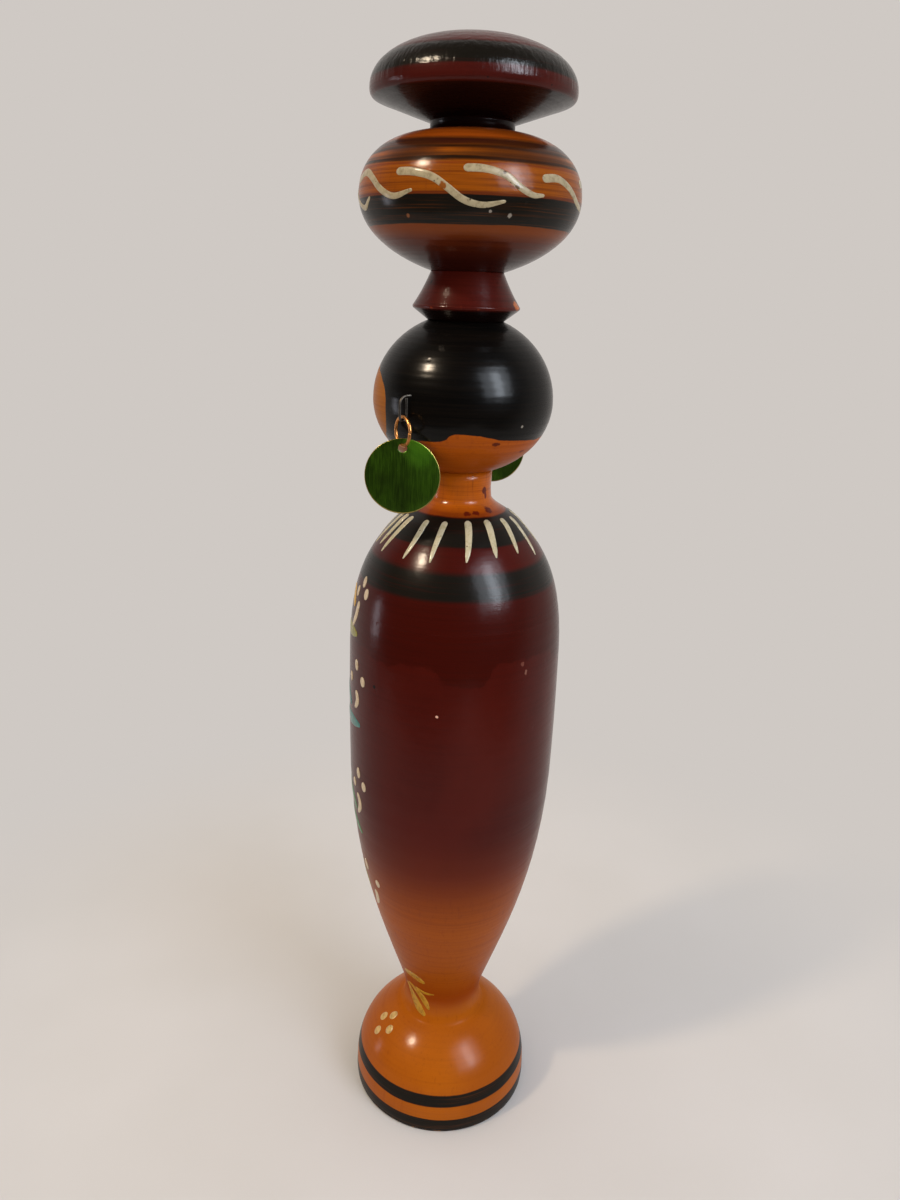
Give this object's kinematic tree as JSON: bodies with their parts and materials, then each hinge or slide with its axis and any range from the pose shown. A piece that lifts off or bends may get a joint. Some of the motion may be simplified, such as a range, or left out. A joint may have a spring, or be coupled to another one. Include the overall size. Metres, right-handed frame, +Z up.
{
  "type": "turned wooden doll",
  "caption": "Lacquered hand-turned wooden figure with a round foot, tapering body, ball head, a lidded pot carried on the head, and hanging disc earrings.",
  "frame": {"origin": "middle of the foot's flat underside, on the turning axis", "axes": "+Z up along the turning axis, the face looks along -Y, +X is the doll's own left"},
  "size_m": [0.0584, 0.0584, 0.3],
  "materials": {
    "red_lacquer": "dark red stain under gloss lacquer, fading to orange at the waist",
    "black_lacquer": "black paint under gloss lacquer",
    "orange_lacquer": "orange stain under gloss lacquer with painted bands",
    "bare_wood": "bare beech dowel",
    "brush_paint": "hand-painted raised brush strokes",
    "dark_wire": "dull dark steel wire",
    "copper_wire": "bright copper-coloured wire",
    "green_sheet": "green anodised sheet with fine grain and scuffs"
  },
  "bodies": {
    "doll": {"body": "red_lacquer", "head": "black_lacquer", "collar": "red_lacquer", "pot": "orange_lacquer", "lid": "red_lacquer", "neck_dowel": "bare_wood", "crown_dowel": "bare_wood", "lid_dowel": "bare_wood", "ear_hook_left": "dark_wire", "ear_hook_right": "dark_wire"},
    "ring_left": {"ear_ring_left": "copper_wire"},
    "disc_left": {"ear_disc_left": "green_sheet"},
    "ring_right": {"ear_ring_right": "copper_wire"},
    "disc_right": {"ear_disc_right": "green_sheet"}
  },
  "joints": [
    {"name": "ring_left_swing", "type": "hinge", "parent": "doll", "child": "ring_left", "pos_m": [0.02432, -0.00299, 0.2156], "axis": [0.8746, -0.4848, 0], "range_deg": [-6, 60]},
    {"name": "disc_left_swing", "type": "hinge", "parent": "ring_left", "child": "disc_left", "pos_m": [0.02432, -0.00299, 0.209], "axis": [0.8829, 0.4695, 0], "range_deg": [-75, 6]},
    {"name": "ring_right_swing", "type": "hinge", "parent": "doll", "child": "ring_right", "pos_m": [-0.02432, -0.00299, 0.2156], "axis": [-0.9455, 0.3256, 0], "range_deg": [-14, 60]},
    {"name": "disc_right_swing", "type": "hinge", "parent": "ring_right", "child": "disc_right", "pos_m": [-0.02432, -0.00299, 0.209], "axis": [-0.866, -0.5, 0], "range_deg": [-75, 30]}
  ]
}
